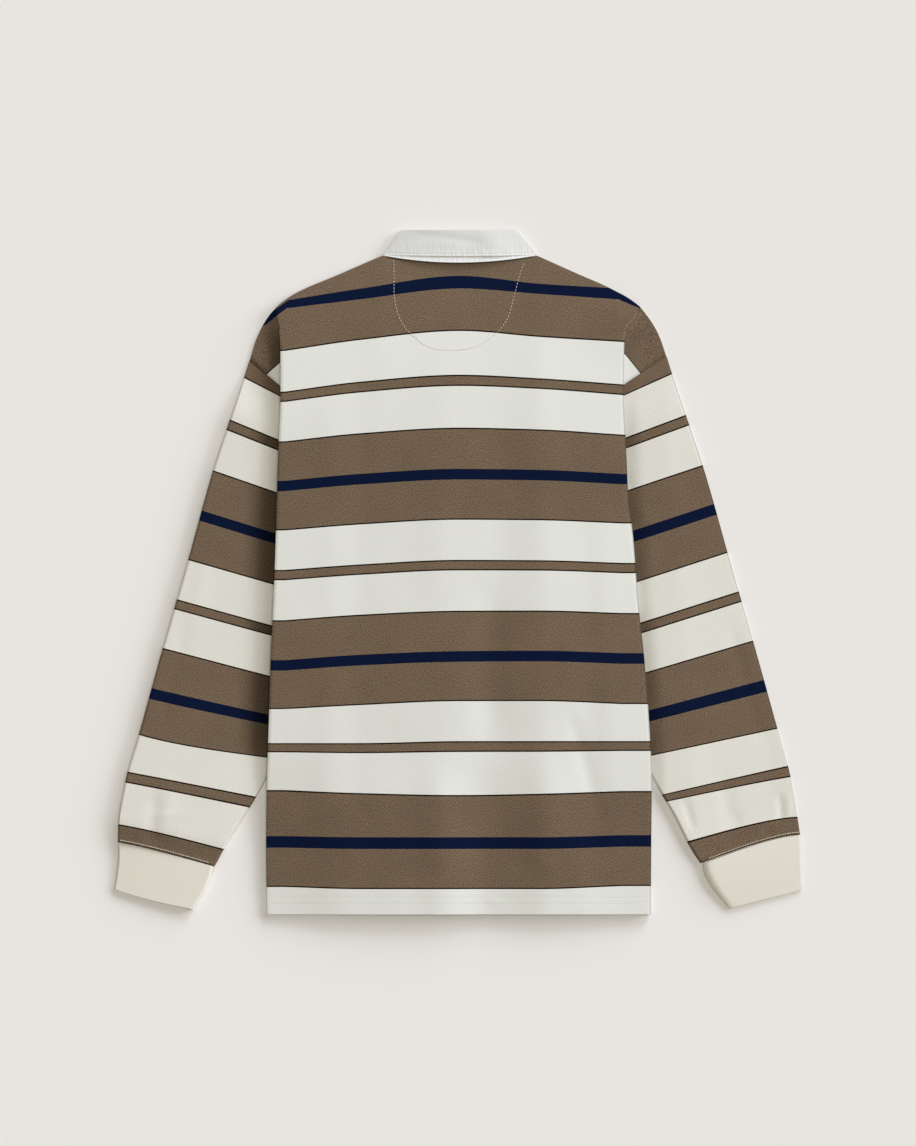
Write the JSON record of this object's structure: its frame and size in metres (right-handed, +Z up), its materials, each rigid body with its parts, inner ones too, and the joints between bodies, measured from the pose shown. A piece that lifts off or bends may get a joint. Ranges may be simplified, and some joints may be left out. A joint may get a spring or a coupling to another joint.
{
  "type": "rugby shirt",
  "caption": "Long-sleeved striped rugby shirt with a woven collar and rib cuffs, laid flat with its back up and both sides tucked under the body.",
  "frame": {"origin": "on the surface the shirt lies on, under the middle of its outline", "axes": "+Z up out of the surface, +Y from the hem to the collar, +X to the wearer's right, because the back is uppermost"},
  "size_m": [0.752, 0.75, 0.0101],
  "materials": {
    "jersey": "heavy cotton jersey in brown, off-white and navy stripes, matt",
    "collar_twill": "white cotton twill, matt",
    "cuff_rib": "cream cotton rib knit, matt",
    "button_rubber": "off-white moulded rubber, satin"
  },
  "bodies": {
    "root": {"back": "jersey", "front": "jersey", "sleeve_left": "jersey", "sleeve_right": "jersey", "cuff_left": "cuff_rib", "cuff_right": "cuff_rib", "collar_leaf": "collar_twill", "collar_stand": "collar_twill", "placket": "jersey", "button_1": "button_rubber", "button_2": "button_rubber", "button_3": "button_rubber"}
  },
  "joints": []
}
